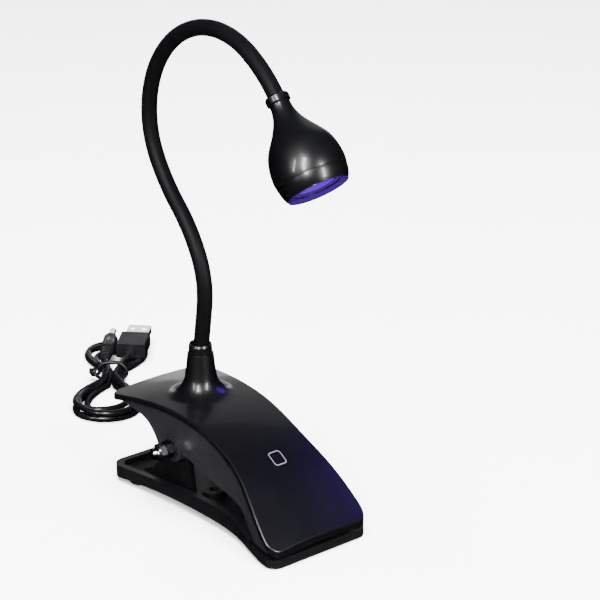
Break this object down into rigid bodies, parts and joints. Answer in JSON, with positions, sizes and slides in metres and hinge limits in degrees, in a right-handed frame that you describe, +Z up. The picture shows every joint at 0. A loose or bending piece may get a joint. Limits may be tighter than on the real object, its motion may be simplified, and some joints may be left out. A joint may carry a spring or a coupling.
{
  "type": "uv curing lamp",
  "caption": "Ultraviolet curing lamp: spring clip base, bendable neck and a small round lamp head, with a tied power lead.",
  "frame": {"origin": "on the surface the lamp stands on, under the clip, on its middle plane and 58.4 mm behind its jaw tips", "axes": "+Z up, +X from the handle end of the clip to its jaw tips, +Y across the clip along the pivot bolt"},
  "size_m": [0.2609, 0.1168, 0.2202],
  "materials": {
    "gloss_black": "high gloss",
    "matte_black": "fine matt",
    "rubber": "matt",
    "nickel": "bright plated",
    "spring_steel": "drawn wire",
    "white_plastic": "satin",
    "dark_steel": "blackened",
    "board": "solder mask",
    "copper": "bare",
    "neck_sleeve": "matt sleeve",
    "violet_ring": "translucent gloss",
    "lens": "clear",
    "bright_metal": "vacuum plated",
    "aluminium": "machined",
    "violet_light": "lit",
    "cable": "satin vinyl"
  },
  "bodies": {
    "lower_jaw": {"lower_jaw": "matte_black", "rear_feet": "rubber", "front_feet": "rubber", "lower_grip_pad": "rubber", "pivot_bolt": "nickel", "near_washer": "nickel", "far_washer": "nickel", "lock_nut": "nickel", "cap_nut": "nickel", "spring_bush": "white_plastic", "torsion_spring": "spring_steel", "cable_hank": "cable", "cable_tie": "cable", "usb_strain_relief": "cable", "usb_grip": "matte_black", "usb_shell": "nickel", "usb_tongue": "white_plastic", "dc_strain_relief": "cable", "dc_grip": "cable", "dc_barrel": "nickel", "dc_core": "matte_black"},
    "upper_jaw": {"top_shell": "gloss_black", "upper_frame": "matte_black", "dc_socket": "matte_black", "dc_socket_pin": "nickel", "frame_screws": "dark_steel", "control_board": "board", "touch_pad": "copper", "upper_grip_pad": "rubber", "stem_collar": "gloss_black", "neck_root": "neck_sleeve", "neck_1": "neck_sleeve"},
    "neck_link_2": {"neck_2": "neck_sleeve"},
    "neck_link_3": {"neck_3": "neck_sleeve"},
    "neck_link_4": {"neck_4": "neck_sleeve"},
    "neck_link_5": {"neck_5": "neck_sleeve"},
    "neck_link_6": {"neck_6": "neck_sleeve"},
    "neck_link_7": {"neck_7": "neck_sleeve"},
    "neck_link_8": {"neck_8": "neck_sleeve"},
    "neck_link_9": {"neck_9": "neck_sleeve"},
    "head": {"neck_10": "neck_sleeve", "head_collar": "gloss_black", "head_shell": "gloss_black", "front_ring": "violet_ring", "lens_bezel": "violet_ring", "lens": "lens", "reflector": "bright_metal", "led_board": "aluminium", "led_emitter": "violet_light", "heat_sink": "aluminium"}
  },
  "joints": [
    {"name": "jaw_hinge", "type": "hinge", "parent": "lower_jaw", "child": "upper_jaw", "pos_m": [-0.0195, 0, 0.028], "axis": [0, -1, 0], "range_deg": [0, 26], "stiffness_Nm_per_rad": 1.7, "springref_deg": -28.65, "deforming": ["torsion_spring"]},
    {"name": "neck_bend_1", "type": "hinge", "parent": "upper_jaw", "child": "neck_link_2", "pos_m": [-0.02218, 0, 0.08992], "axis": [0, 1, 0], "range_deg": [-12, 12]},
    {"name": "neck_sway_2", "type": "hinge", "parent": "neck_link_2", "child": "neck_link_3", "pos_m": [-0.02625, 0, 0.113], "axis": [0.887, 0, 0.4617], "range_deg": [-12, 12]},
    {"name": "neck_bend_3", "type": "hinge", "parent": "neck_link_3", "child": "neck_link_4", "pos_m": [-0.04059, 0, 0.13185], "axis": [0, 1, 0], "range_deg": [-12, 12]},
    {"name": "neck_sway_4", "type": "hinge", "parent": "neck_link_4", "child": "neck_link_5", "pos_m": [-0.05526, 0, 0.15047], "axis": [0.8704, 0, 0.4924], "range_deg": [-12, 12]},
    {"name": "neck_bend_5", "type": "hinge", "parent": "neck_link_5", "child": "neck_link_6", "pos_m": [-0.06013, 0, 0.17339], "axis": [0, 1, 0], "range_deg": [-12, 12]},
    {"name": "neck_sway_6", "type": "hinge", "parent": "neck_link_6", "child": "neck_link_7", "pos_m": [-0.05189, 0, 0.19543], "axis": [0.8141, 0, -0.5807], "range_deg": [-12, 12]},
    {"name": "neck_bend_7", "type": "hinge", "parent": "neck_link_7", "child": "neck_link_8", "pos_m": [-0.0341, 0, 0.2109], "axis": [0, 1, 0], "range_deg": [-12, 12]},
    {"name": "neck_sway_8", "type": "hinge", "parent": "neck_link_8", "child": "neck_link_9", "pos_m": [-0.01122, 0, 0.2166], "axis": [0.0087, 0, -1], "range_deg": [-12, 12]},
    {"name": "neck_bend_9", "type": "hinge", "parent": "neck_link_9", "child": "head", "pos_m": [0.01156, 0, 0.21071], "axis": [0, 1, 0], "range_deg": [-12, 12]}
  ]
}
